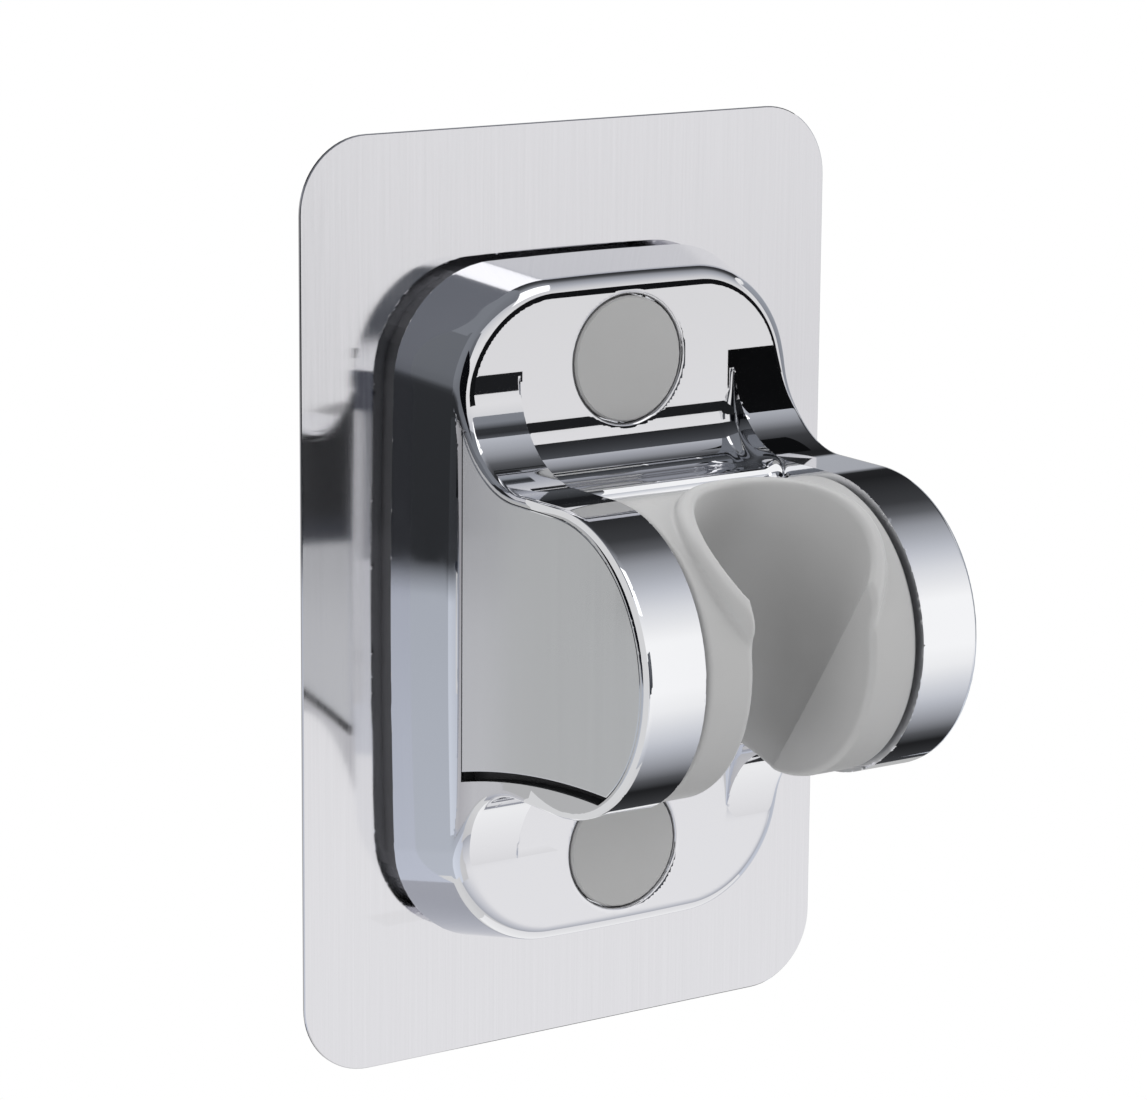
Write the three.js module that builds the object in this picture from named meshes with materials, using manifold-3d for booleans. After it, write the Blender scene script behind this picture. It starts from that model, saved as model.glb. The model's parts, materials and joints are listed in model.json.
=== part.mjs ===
// Wall holder for a hand shower: a chrome body with two arms on a glued steel plate, and a tilting cradle.
// Millimetres, +Z up, +Y into the wall. The origin is the middle of the glued face, on the wall.
// "Depth" below is the distance out from the wall, so a point at depth d has y = -d.

import * as THREE from 'three';
import { mergeVertices } from 'three/addons/utils/BufferGeometryUtils.js';
import Module from 'manifold-3d';

const wasm = await Module();
wasm.setup();

// Plate and glue
const PLATE_WIDTH = 80;
const PLATE_HEIGHT = 120;
const PLATE_CORNER = 9.5;
const PLATE_THICKNESS = 0.5;
const ADHESIVE_THICKNESS = 0.5;
const ADHESIVE_MARGIN = 0.6;

// Body: a shallow drafted shell with round corners and gently crowned edges
const BODY_DROP = 0.4;
const BODY_DEPTH = 10.4;
const BODY_BACK_WIDTH = 57.2;
const BODY_BACK_HEIGHT = 88;
const BODY_FRONT_WIDTH = 52;
const BODY_FRONT_HEIGHT = 85.4;
const BODY_CORNER = 13.5;
const BODY_WALL = 2.2;
const BODY_EDGE_ROUND = 1.8;
const SIDE_CROWN = 1.0;
const TOP_CROWN = 0.7;
const SEAL_THICKNESS = 2.4;
const SEAL_INSET = 1.5;

// Fixing points: stud, washer, nut and cap
const FIXING_SPACING = 63.4;
const CAP_DIAMETER = 16;
const CAP_THICKNESS = 1.6;
const CAP_SKIRT_WALL = 1.0;
const CAP_SKIRT_LENGTH = 2.6;
const CAP_GAP = 0.2;
const CAP_CHAMFER = 0.25;
const BOSS_WALL = 1.8;
const STUD_DIAMETER = 5;
const STUD_FLANGE_DIAMETER = 12;
const STUD_FLANGE_THICKNESS = 0.8;
const STUD_TIP = 0.5;
const STUD_TIP_GAP = 0.4;
const STUD_HOLE_GAP = 0.4;
const WASHER_DIAMETER = 10;
const WASHER_THICKNESS = 1;
const NUT_ACROSS_FLATS = 8;
const NUT_THICKNESS = 3.9;
const THREAD_GAP = 0.15;

// Cradle: a drum on a cross axis, with a conical bore that leans forward and a front slot
const REST_TILT_DEG = 28;
const DRUM_RADIUS = 18.5;
const DRUM_SHOULDER = 2.1;
const DRUM_EDGE_ROUND = 0.8;
const COLLAR_PROUD = 1.5;
const COLLAR_WALL = 2.2;
const BORE_TOP_DIAMETER = 23;
const BORE_BOTTOM_DIAMETER = 18.8;
const BORE_OFFSET = 3.9;
const SLOT_WIDTH = 17.6;

// Arms, saddle and side covers
const SIDE_GAP = 0.5;
const BARREL_LIP = 0.5;
const ARM_INNER_WALL = 3.4;
const SWEEP_RADIUS = 12.2;
const SOCKET_GAP = 0.8;
const SADDLE_WALL = 1.5;
const SADDLE_FILLET = 6;
const LIP_CLEARANCE = 0.6;
const LIP_ROUND = 1.6;
const COVER_THICKNESS = 2.1;
const COVER_RIM = 1.0;
const COVER_LEDGE = 1.6;
const COVER_GAP = 0.12;
const COVER_SETBACK = 0.3;
const COVER_DROP_BACK = 19.4;
const COVER_DROP_FRONT = 15.3;
const PRY_SLOT = 1.3;

// Pivot hardware, one set in each arm
const SHOULDER_DIAMETER = 6;
const SHOULDER_GAP = 0.1;
const BUSH_WALL = 1.3;
const BUSH_FLANGE_DIAMETER = 14;
const BUSH_FLANGE_THICKNESS = 0.8;
const BUSH_FIT = 0.12;
const SPRING_HEIGHT = 0.7;
const SPRING_THICKNESS = 0.4;
const SCREW_HEAD_DIAMETER = 10;
const SCREW_HEAD_HEIGHT = 1.4;
const SCREW_HEAD_GAP = 0.3;
const SCREW_THREAD_DIAMETER = 4;
const HEX_KEY = 3;
const HEX_KEY_DEPTH = 0.9;
const INSERT_DIAMETER = 8;
const INSERT_FIT = 0.12;
const INSERT_BACK_WALL = 1.6;
const FRICTION_RING_INNER = 18;
const FRICTION_RING_OUTER = 26;
const FRICTION_RING_SEAT = 0.8;
const FRICTION_RING_GAP = 0.1;

// Facets: the furthest that a facet may stray from its true curve, and steps along the body's outline
const FACET_SAG = 0.035;
const CORNER_STEPS = 9;
const SIDE_STEPS = 6;
const ROUND_STEPS = 4;
const CUT_OVER = 1;
const WELD = 1e-4;

// Depths from the wall
const plateBack = ADHESIVE_THICKNESS;
const plateFront = plateBack + PLATE_THICKNESS;
const bodyBack = plateFront + SEAL_THICKNESS;
const bodyFront = bodyBack + BODY_DEPTH;
const capBack = bodyFront - CAP_THICKNESS;
const studEnd = capBack - STUD_TIP_GAP;
const nutFront = studEnd - STUD_TIP;
const washerFront = nutFront - NUT_THICKNESS;
const fixingSeat = washerFront - WASHER_THICKNESS;
const armRoot = bodyFront - BODY_WALL;
const socketRadius = DRUM_RADIUS + SOCKET_GAP;
const pivotDepth = bodyFront + SADDLE_WALL + socketRadius;

// Heights
const bodyHeight = -BODY_DROP;
const fixings = [
  { name: 'upper', z: bodyHeight + FIXING_SPACING / 2 },
  { name: 'lower', z: bodyHeight - FIXING_SPACING / 2 },
];
const barrelRadius = DRUM_RADIUS + BARREL_LIP;
const collarRadius = DRUM_RADIUS + COLLAR_PROUD;
const collarOuter = BORE_TOP_DIAMETER / 2 + COLLAR_WALL;
const lipSetback = collarOuter - BORE_OFFSET + LIP_CLEARANCE;
const lipHeight = Math.sqrt(socketRadius ** 2 - lipSetback ** 2);
const shelfHeight = lipHeight + LIP_ROUND;

// Distances out from the middle plane, along X
const drumEnd = collarOuter + DRUM_SHOULDER;
const armInner = drumEnd + SIDE_GAP;
const pocketFloor = armInner + ARM_INNER_WALL;
const bushFace = pocketFloor + BUSH_FLANGE_THICKNESS;
const headSeat = bushFace + SPRING_HEIGHT;
const headTop = headSeat + SCREW_HEAD_HEIGHT;
const coverFloor = headTop + SCREW_HEAD_GAP;
const armOuter = coverFloor + COVER_THICKNESS;
const insertEnd = BORE_TOP_DIAMETER / 2 + INSERT_BACK_WALL;

const bushOuter = SHOULDER_DIAMETER / 2 + SHOULDER_GAP + BUSH_WALL;
const FULL_TURN = Math.PI * 2;
const QUARTER = Math.PI / 2;

// Finishes
function finish(color, roughness, metalness) {
  return new THREE.MeshStandardMaterial({ color, roughness, metalness });
}
const chrome = finish(0xd9dcdf, 0.06, 1);
const brushedSteel = finish(0xc9c9cb, 0.32, 1);
const greyPlastic = finish(0xb4b4b4, 0.42, 0);
const capPlastic = finish(0xa3a3a3, 0.45, 0);
const darkRubber = finish(0x26282b, 0.8, 0);
const zincSteel = finish(0xb9bcbf, 0.35, 1);
const brass = finish(0xc2a24e, 0.35, 1);
const nylon = finish(0xe9e7df, 0.5, 0);
const glue = finish(0xf2f2ee, 0.6, 0);

// Turns a closed geometry into a solid that can be joined and cut
function solid(geometry) {
  const bare = new THREE.BufferGeometry();
  bare.setAttribute('position', geometry.getAttribute('position'));
  bare.setIndex(geometry.index);
  const merged = mergeVertices(bare, WELD);
  const places = merged.getAttribute('position').array;
  const corner = (k) => new THREE.Vector3().fromArray(places, 3 * k);
  const triangles = [];
  let volume = 0;
  for (let i = 0; i < merged.index.count; i += 3) {
    const [a, b, c] = merged.index.array.slice(i, i + 3);
    if (a !== b && b !== c && c !== a) {
      triangles.push([a, b, c]);
      volume += corner(a).dot(corner(b).cross(corner(c)));
    }
  }
  const outward = volume < 0 ? triangles.map(([a, b, c]) => [a, c, b]) : triangles;
  const vertProperties = new Float32Array(places);
  const triVerts = new Uint32Array(outward.flat());
  return new wasm.Manifold(new wasm.Mesh({ numProp: 3, vertProperties, triVerts }));
}

function piece(name, shape, material) {
  const made = shape.getMesh();
  const geometry = new THREE.BufferGeometry();
  geometry.setAttribute('position', new THREE.BufferAttribute(new Float32Array(made.vertProperties), 3));
  geometry.setIndex(new THREE.BufferAttribute(new Uint32Array(made.triVerts), 1));
  geometry.computeVertexNormals();
  const mesh = new THREE.Mesh(geometry, material);
  mesh.name = name;
  return mesh;
}

// Points along an arc, as fine as FACET_SAG asks
function arc(u, v, radius, from, to) {
  const stepAngle = 2 * Math.acos(1 - FACET_SAG / radius);
  const steps = Math.max(2, Math.ceil(Math.abs(to - from) / stepAngle));
  return Array.from({ length: steps + 1 }, (_, i) => {
    const angle = from + ((to - from) * i) / steps;
    return new THREE.Vector2(u + radius * Math.cos(angle), v + radius * Math.sin(angle));
  });
}

function segmentsFor(radius) {
  return 4 * Math.ceil(FULL_TURN / (2 * Math.acos(1 - FACET_SAG / radius)) / 4);
}

// A profile given as (x, z), made into a slab between two depths
function slab(points, fromDepth, toDepth, holes = []) {
  const shape = new THREE.Shape(points);
  shape.holes = holes.map((hole) => new THREE.Path(hole));
  const geometry = new THREE.ExtrudeGeometry(shape, { depth: toDepth - fromDepth, bevelEnabled: false });
  const axes = [new THREE.Vector3(1, 0, 0), new THREE.Vector3(0, 0, 1), new THREE.Vector3(0, -1, 0)];
  geometry.applyMatrix4(new THREE.Matrix4().makeBasis(...axes));
  geometry.translate(0, -fromDepth, 0);
  return solid(geometry);
}

// A profile given as (depth, z), made into a slab across X
function crossSlab(points, fromX, toX) {
  const shape = new THREE.Shape(points);
  const geometry = new THREE.ExtrudeGeometry(shape, { depth: toX - fromX, bevelEnabled: false });
  const axes = [new THREE.Vector3(0, -1, 0), new THREE.Vector3(0, 0, 1), new THREE.Vector3(-1, 0, 0)];
  geometry.applyMatrix4(new THREE.Matrix4().makeBasis(...axes));
  geometry.translate(toX, 0, 0);
  return solid(geometry);
}

function largestRadius(profile) {
  return Math.max(...profile.map(([radius]) => radius));
}

function lathe(profile) {
  const points = profile.map(([radius, along]) => new THREE.Vector2(radius, along));
  return new THREE.LatheGeometry(points, segmentsFor(largestRadius(profile)));
}

// A turned piece on an axis straight out of the wall: profile of (radius, depth)
function turnedOut(profile, z) {
  return solid(lathe(profile).rotateX(Math.PI).translate(0, 0, z));
}

// A turned piece on the cross axis: profile of (radius, x)
function turnedAcross(profile) {
  return solid(lathe(profile).rotateZ(-QUARTER));
}

function ringProfile(inner, outer, from, to) {
  return [[inner, from], [outer, from], [outer, to], [inner, to], [inner, from]];
}

function rodProfile(radius, from, to) {
  return [[0, from], [radius, from], [radius, to], [0, to]];
}

function hexagon(acrossFlats, u, v) {
  const radius = acrossFlats / Math.sqrt(3);
  return Array.from({ length: 6 }, (_, i) => {
    const angle = (i * FULL_TURN) / 6;
    return new THREE.Vector2(u + radius * Math.cos(angle), v + radius * Math.sin(angle));
  });
}

function roundedRectangle(width, height, corner) {
  const u = width / 2 - corner;
  const v = height / 2 - corner;
  return [
    ...arc(u, v, corner, 0, QUARTER),
    ...arc(-u, v, corner, QUARTER, 2 * QUARTER),
    ...arc(-u, -v, corner, 2 * QUARTER, 3 * QUARTER),
    ...arc(u, -v, corner, 3 * QUARTER, 4 * QUARTER),
  ];
}

// The body's outline: a rounded rectangle whose edges bow out a little, with as many points at any size
function bodyOutline(width, height, corner) {
  const u = width / 2 - corner;
  const v = height / 2 - corner;
  const points = [];
  const corners = [[u, v], [-u, v], [-u, -v], [u, -v]];
  corners.forEach(([cu, cv], k) => {
    for (let i = 0; i <= CORNER_STEPS; i += 1) {
      const angle = (k + i / CORNER_STEPS) * QUARTER;
      points.push([cu + corner * Math.cos(angle), cv + corner * Math.sin(angle)]);
    }
    const [nu, nv] = corners[(k + 1) % 4];
    const end = points[points.length - 1];
    for (let i = 1; i < SIDE_STEPS; i += 1) {
      const share = i / SIDE_STEPS;
      points.push([end[0] + (nu - cu) * share, end[1] + (nv - cv) * share]);
    }
  });
  return points.map(([x, z]) => {
    const sideways = (2 * x) / width;
    const upward = (2 * z) / height;
    return new THREE.Vector2(
      x - Math.sign(x) * SIDE_CROWN * upward ** 2,
      z - Math.sign(z) * TOP_CROWN * sideways ** 2 + bodyHeight,
    );
  });
}

// A solid through outlines of equal point counts, each at its own depth, from the wall outward
function loft(sections) {
  const count = sections[0].points.length;
  const places = [];
  const index = [];
  sections.forEach(({ depth, points }) => points.forEach((p) => places.push(p.x, -depth, p.y)));
  for (let s = 0; s + 1 < sections.length; s += 1) {
    for (let i = 0; i < count; i += 1) {
      const a = s * count + i;
      const b = s * count + ((i + 1) % count);
      index.push(a, b, b + count, a, b + count, a + count);
    }
  }
  const last = (sections.length - 1) * count;
  for (let i = 1; i + 1 < count; i += 1) {
    index.push(0, i + 1, i, last, last + i, last + i + 1);
  }
  const geometry = new THREE.BufferGeometry();
  geometry.setAttribute('position', new THREE.Float32BufferAttribute(places, 3));
  geometry.setIndex(index);
  return solid(geometry);
}

function bodyForm() {
  const roundStart = bodyFront - BODY_EDGE_ROUND;
  const sections = [
    { depth: bodyBack, points: bodyOutline(BODY_BACK_WIDTH, BODY_BACK_HEIGHT, BODY_CORNER) },
  ];
  for (let i = 0; i <= ROUND_STEPS; i += 1) {
    const angle = (i / ROUND_STEPS) * QUARTER;
    const inset = BODY_EDGE_ROUND * (1 - Math.cos(angle));
    const depth = roundStart + BODY_EDGE_ROUND * Math.sin(angle);
    const width = BODY_FRONT_WIDTH - 2 * inset;
    const height = BODY_FRONT_HEIGHT - 2 * inset;
    sections.push({ depth, points: bodyOutline(width, height, BODY_CORNER - inset) });
  }
  return loft(sections);
}

function bodyCavity() {
  const inset = 2 * BODY_WALL;
  const corner = BODY_CORNER - BODY_WALL;
  const back = bodyOutline(BODY_BACK_WIDTH - inset, BODY_BACK_HEIGHT - inset, corner);
  const front = bodyOutline(BODY_FRONT_WIDTH - inset, BODY_FRONT_HEIGHT - inset, corner);
  return loft([
    { depth: bodyBack - CUT_OVER, points: back },
    { depth: bodyBack, points: back },
    { depth: armRoot, points: front },
  ]);
}

// An arm seen from the side: a barrel end, and a sweep above and below into the body's front
function armOutline() {
  const sweepDepth = bodyFront + SWEEP_RADIUS;
  const top = bodyHeight + barrelRadius;
  const bottom = bodyHeight - barrelRadius;
  return [
    new THREE.Vector2(armRoot, bottom - SWEEP_RADIUS),
    ...arc(sweepDepth, bottom - SWEEP_RADIUS, SWEEP_RADIUS, 2 * QUARTER, QUARTER),
    ...arc(pivotDepth, bodyHeight, barrelRadius, -QUARTER, QUARTER),
    ...arc(sweepDepth, top + SWEEP_RADIUS, SWEEP_RADIUS, 3 * QUARTER, 2 * QUARTER),
    new THREE.Vector2(armRoot, top + SWEEP_RADIUS),
  ];
}

// The outline of an arm's side cover, drawn in by a rim, with its lower edge raised by a lift
function coverOutline(rim, setback, lift) {
  const back = bodyFront + setback;
  const front = barrelRadius - rim;
  const sweep = SWEEP_RADIUS + rim;
  const sweepDepth = bodyFront + SWEEP_RADIUS;
  const sweepHeight = bodyHeight + barrelRadius + SWEEP_RADIUS;
  const dropBack = COVER_DROP_BACK - lift;
  const dropFront = COVER_DROP_FRONT - lift;
  const frontAngle = -Math.asin(dropFront / front);
  const backAngle = -Math.acos((back - sweepDepth) / sweep);
  const footStart = new THREE.Vector2(back, bodyHeight - dropBack);
  const footEnd = new THREE.Vector2(pivotDepth + front * Math.cos(frontAngle), bodyHeight - dropFront);
  const footBend = new THREE.Vector2((footStart.x + footEnd.x) / 2, bodyHeight - dropFront);
  const foot = new THREE.QuadraticBezierCurve(footStart, footBend, footEnd).getPoints(CORNER_STEPS);
  return [
    ...foot.slice(0, -1),
    ...arc(pivotDepth, bodyHeight, front, frontAngle, QUARTER),
    ...arc(sweepDepth, sweepHeight, sweep, -QUARTER, backAngle),
  ];
}

// The saddle behind the drum: a shelf above and below, with round lips and a hollow that clears the drum
function saddleOutline() {
  const upper = [
    new THREE.Vector2(armRoot, shelfHeight + SADDLE_FILLET),
    ...arc(bodyFront + SADDLE_FILLET, shelfHeight + SADDLE_FILLET, SADDLE_FILLET, 2 * QUARTER, 3 * QUARTER),
    ...arc(pivotDepth - lipSetback - LIP_ROUND, lipHeight, LIP_ROUND, QUARTER, 0),
  ];
  const lipAngle = Math.atan2(lipHeight, -lipSetback);
  const hollow = arc(pivotDepth, 0, socketRadius, lipAngle, FULL_TURN - lipAngle).slice(1, -1);
  const lower = upper.map((p) => new THREE.Vector2(p.x, -p.y)).reverse();
  return [...upper, ...hollow, ...lower].map((p) => new THREE.Vector2(p.x, p.y + bodyHeight)).reverse();
}

function mirrored(shape, side) {
  return side > 0 ? shape : shape.mirror([1, 0, 0]);
}

const sides = [
  { name: 'left', sign: -1 },
  { name: 'right', sign: 1 },
];

function atPivot(shape) {
  return shape.translate([0, -pivotDepth, bodyHeight]);
}

function armPocket() {
  const recess = crossSlab(coverOutline(COVER_RIM, COVER_SETBACK, 0), coverFloor, armOuter + CUT_OVER);
  const innerRim = COVER_RIM + COVER_LEDGE;
  const innerOutline = coverOutline(innerRim, COVER_SETBACK + COVER_LEDGE, COVER_LEDGE);
  const pocket = crossSlab(innerOutline, pocketFloor, coverFloor + CUT_OVER);
  const boreProfile = rodProfile(bushOuter + BUSH_FIT, armInner - CUT_OVER, pocketFloor + CUT_OVER);
  return recess.add(pocket).add(atPivot(turnedAcross(boreProfile)));
}

function bodyShell() {
  let body = bodyForm().subtract(bodyCavity());
  const bossRadius = CAP_DIAMETER / 2 + CAP_GAP + BOSS_WALL;
  for (const { z } of fixings) {
    body = body.add(turnedOut(rodProfile(bossRadius, bodyBack, armRoot + BODY_WALL / 2), z));
  }
  const join = (armInner + pocketFloor) / 2;
  body = body.add(crossSlab(saddleOutline(), -join, join));
  for (const { sign } of sides) {
    body = body.add(mirrored(crossSlab(armOutline(), armInner, armOuter), sign));
    body = body.subtract(mirrored(armPocket(), sign));
  }
  for (const { z } of fixings) {
    const pocket = rodProfile(CAP_DIAMETER / 2 + CAP_GAP, fixingSeat, bodyFront + CUT_OVER);
    const hole = rodProfile(STUD_DIAMETER / 2 + STUD_HOLE_GAP, bodyBack - CUT_OVER, fixingSeat + CUT_OVER);
    body = body.subtract(turnedOut(pocket, z)).subtract(turnedOut(hole, z));
  }
  return body;
}

function baseSeal() {
  const outline = bodyOutline(
    BODY_BACK_WIDTH - 2 * SEAL_INSET,
    BODY_BACK_HEIGHT - 2 * SEAL_INSET,
    BODY_CORNER - SEAL_INSET,
  );
  const holeRadius = STUD_FLANGE_DIAMETER / 2 + STUD_HOLE_GAP;
  const holes = fixings.map(({ z }) => arc(0, z, holeRadius, 0, FULL_TURN).slice(1));
  return slab(outline, plateFront, bodyBack, holes);
}

function stud(z) {
  const thread = STUD_DIAMETER / 2;
  const flangeFront = plateFront + STUD_FLANGE_THICKNESS;
  return turnedOut([
    [0, plateFront],
    [STUD_FLANGE_DIAMETER / 2, plateFront],
    [STUD_FLANGE_DIAMETER / 2, flangeFront],
    [thread, flangeFront],
    [thread, studEnd - STUD_TIP],
    [thread - STUD_TIP, studEnd],
    [0, studEnd],
  ], z);
}

function nut(z) {
  const hole = arc(0, z, STUD_DIAMETER / 2 + THREAD_GAP, 0, FULL_TURN).slice(1);
  return slab(hexagon(NUT_ACROSS_FLATS, 0, z), washerFront, nutFront, [hole]);
}

function washer(z) {
  const inner = STUD_DIAMETER / 2 + STUD_HOLE_GAP;
  return turnedOut(ringProfile(inner, WASHER_DIAMETER / 2, fixingSeat, washerFront), z);
}

function screwCap(z) {
  const outer = CAP_DIAMETER / 2;
  const skirtOuter = outer - CAP_CHAMFER;
  const skirtInner = skirtOuter - CAP_SKIRT_WALL;
  const skirtEnd = capBack - CAP_SKIRT_LENGTH;
  return turnedOut([
    [0, capBack],
    [skirtInner, capBack],
    [skirtInner, skirtEnd],
    [skirtOuter, skirtEnd],
    [skirtOuter, capBack],
    [outer, capBack],
    [outer, bodyFront - CAP_CHAMFER],
    [outer - CAP_CHAMFER, bodyFront],
    [0, bodyFront],
  ], z);
}

// The cradle about its own axis, with its bore upright: X is the cross axis and -Y is the open front
function cradle() {
  const edge = arc(DRUM_RADIUS - DRUM_EDGE_ROUND, drumEnd - DRUM_EDGE_ROUND, DRUM_EDGE_ROUND, 0, QUARTER);
  const end = edge.map((p) => [p.x, p.y]);
  const otherEnd = end.map(([radius, x]) => [radius, -x]).reverse();
  const drum = turnedAcross([[0, -drumEnd], ...otherEnd, ...end, [0, drumEnd]]);
  const reach = collarRadius + CUT_OVER;
  const tower = new THREE.CylinderGeometry(collarOuter, collarOuter, reach, segmentsFor(collarOuter));
  const collarCap = turnedAcross(rodProfile(collarRadius, -drumEnd, drumEnd));
  const collar = solid(tower.rotateX(QUARTER).translate(0, -BORE_OFFSET, reach / 2)).intersect(collarCap);
  const taper = (BORE_TOP_DIAMETER - BORE_BOTTOM_DIAMETER) / 2 / (collarRadius + DRUM_RADIUS);
  const boreTop = BORE_TOP_DIAMETER / 2 + taper * CUT_OVER;
  const boreBottom = BORE_BOTTOM_DIAMETER / 2 - taper * CUT_OVER;
  const boreLength = collarRadius + DRUM_RADIUS + 2 * CUT_OVER;
  const cone = new THREE.CylinderGeometry(boreTop, boreBottom, boreLength, segmentsFor(boreTop));
  const boreMiddle = (collarRadius - DRUM_RADIUS) / 2;
  const bore = solid(cone.rotateX(QUARTER).translate(0, -BORE_OFFSET, boreMiddle));
  const slotDepth = collarRadius + CUT_OVER;
  const slot = solid(new THREE.BoxGeometry(SLOT_WIDTH, slotDepth, 2 * reach).translate(
    0,
    -BORE_OFFSET - slotDepth / 2,
    0,
  ));
  let body = drum.add(collar).subtract(bore).subtract(slot);
  const ringSeat = drumEnd - FRICTION_RING_SEAT;
  for (const { sign } of sides) {
    const insertHole = rodProfile(INSERT_DIAMETER / 2 + INSERT_FIT, insertEnd, drumEnd + CUT_OVER);
    const ringGroove = ringProfile(
      FRICTION_RING_INNER / 2 - FRICTION_RING_GAP,
      FRICTION_RING_OUTER / 2 + FRICTION_RING_GAP,
      ringSeat,
      drumEnd + CUT_OVER,
    );
    body = body.subtract(mirrored(turnedAcross(insertHole), sign));
    body = body.subtract(mirrored(turnedAcross(ringGroove), sign));
  }
  return body;
}

function pivotInsert() {
  const inner = SCREW_THREAD_DIAMETER / 2 + THREAD_GAP;
  return turnedAcross(ringProfile(inner, INSERT_DIAMETER / 2, insertEnd, drumEnd));
}

function pivotScrew() {
  const thread = SCREW_THREAD_DIAMETER / 2;
  const shoulder = SHOULDER_DIAMETER / 2;
  const screw = turnedAcross([
    [0, insertEnd],
    [thread, insertEnd],
    [thread, drumEnd],
    [shoulder, drumEnd],
    [shoulder, headSeat],
    [SCREW_HEAD_DIAMETER / 2, headSeat],
    [SCREW_HEAD_DIAMETER / 2, headTop],
    [0, headTop],
  ]);
  const key = crossSlab(hexagon(HEX_KEY, 0, 0), headTop - HEX_KEY_DEPTH, headTop + CUT_OVER);
  return screw.subtract(key);
}

// A dished washer: its inner edge bears on the bush and its outer edge on the screw's head
function springWasher() {
  const inner = SHOULDER_DIAMETER / 2 + SHOULDER_GAP;
  const outer = SCREW_HEAD_DIAMETER / 2;
  return turnedAcross([
    [inner, bushFace],
    [outer, headSeat - SPRING_THICKNESS],
    [outer, headSeat],
    [inner, bushFace + SPRING_THICKNESS],
    [inner, bushFace],
  ]);
}

function pivotBush() {
  const inner = SHOULDER_DIAMETER / 2 + SHOULDER_GAP;
  return turnedAcross([
    [inner, armInner],
    [bushOuter, armInner],
    [bushOuter, pocketFloor],
    [BUSH_FLANGE_DIAMETER / 2, pocketFloor],
    [BUSH_FLANGE_DIAMETER / 2, bushFace],
    [inner, bushFace],
    [inner, armInner],
  ]);
}

function frictionRing() {
  const from = drumEnd - FRICTION_RING_SEAT;
  const to = armInner - FRICTION_RING_GAP;
  return turnedAcross(ringProfile(FRICTION_RING_INNER / 2, FRICTION_RING_OUTER / 2, from, to));
}

function sideCover() {
  const outline = coverOutline(COVER_RIM + COVER_GAP, COVER_SETBACK + COVER_GAP, PRY_SLOT);
  return crossSlab(outline, coverFloor, armOuter);
}

function adhesiveSheet() {
  const outline = roundedRectangle(
    PLATE_WIDTH - 2 * ADHESIVE_MARGIN,
    PLATE_HEIGHT - 2 * ADHESIVE_MARGIN,
    PLATE_CORNER - ADHESIVE_MARGIN,
  );
  return slab(outline, 0, plateBack);
}

function mountingPlate() {
  return slab(roundedRectangle(PLATE_WIDTH, PLATE_HEIGHT, PLATE_CORNER), plateBack, plateFront);
}

const holder = new THREE.Group();
holder.name = 'shower_head_holder';
holder.add(piece('adhesive_sheet', adhesiveSheet(), glue));
holder.add(piece('mounting_plate', mountingPlate(), brushedSteel));
holder.add(piece('base_seal', baseSeal(), darkRubber));
holder.add(piece('body_shell', bodyShell(), chrome));
for (const { name, z } of fixings) {
  holder.add(piece(`stud_${name}`, stud(z), zincSteel));
  holder.add(piece(`washer_${name}`, washer(z), zincSteel));
  holder.add(piece(`nut_${name}`, nut(z), zincSteel));
  holder.add(piece(`screw_cap_${name}`, screwCap(z), capPlastic));
}
for (const { name, sign } of sides) {
  holder.add(piece(`pivot_bush_${name}`, mirrored(atPivot(pivotBush()), sign), nylon));
  holder.add(piece(`side_cover_${name}`, mirrored(sideCover(), sign), chrome));
}

// What turns with the cradle, about the cross axis, tilted forward as it stands at rest
const tilting = new THREE.Group();
tilting.position.set(0, -pivotDepth, bodyHeight);
tilting.rotation.x = THREE.MathUtils.degToRad(REST_TILT_DEG);
tilting.add(piece('cradle', cradle(), greyPlastic));
for (const { name, sign } of sides) {
  tilting.add(piece(`pivot_insert_${name}`, mirrored(pivotInsert(), sign), brass));
  tilting.add(piece(`pivot_screw_${name}`, mirrored(pivotScrew(), sign), zincSteel));
  tilting.add(piece(`spring_washer_${name}`, mirrored(springWasher(), sign), zincSteel));
  tilting.add(piece(`friction_ring_${name}`, mirrored(frictionRing(), sign), darkRubber));
}
holder.add(tilting);

export default holder;
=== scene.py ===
"""The looks of a wall holder for a hand shower.

The body and its arms are chrome, the plate is brushed steel and the tilting cradle is grey plastic.
Shapes are worked out in millimetres in the part's own frame and made in metres. "Depth" is the distance
out from the wall, so a point at depth d has y = -d.
"""

import json
import math

import bmesh
import bpy
import numpy as np
from mathutils import Matrix, Vector


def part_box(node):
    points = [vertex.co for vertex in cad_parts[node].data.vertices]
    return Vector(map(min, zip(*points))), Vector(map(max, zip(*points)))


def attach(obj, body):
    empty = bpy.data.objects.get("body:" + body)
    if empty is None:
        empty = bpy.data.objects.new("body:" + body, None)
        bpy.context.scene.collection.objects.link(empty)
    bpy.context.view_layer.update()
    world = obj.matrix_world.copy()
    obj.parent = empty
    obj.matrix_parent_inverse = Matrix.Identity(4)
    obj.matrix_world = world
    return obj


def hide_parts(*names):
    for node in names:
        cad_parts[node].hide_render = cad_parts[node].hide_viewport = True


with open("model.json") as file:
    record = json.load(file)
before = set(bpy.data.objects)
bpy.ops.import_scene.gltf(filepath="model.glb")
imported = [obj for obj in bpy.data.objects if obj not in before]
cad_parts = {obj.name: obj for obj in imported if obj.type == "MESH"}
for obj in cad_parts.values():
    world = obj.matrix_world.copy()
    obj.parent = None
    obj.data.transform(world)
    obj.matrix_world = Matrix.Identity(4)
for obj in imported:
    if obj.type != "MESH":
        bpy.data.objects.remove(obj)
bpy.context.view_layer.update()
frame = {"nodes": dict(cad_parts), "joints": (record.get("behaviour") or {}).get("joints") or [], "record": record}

MM = 0.001


# Sizes read from the frame, in millimetres
def node_box(name):
    low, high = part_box(name)
    return np.array(low) / MM, np.array(high) / MM


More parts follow.
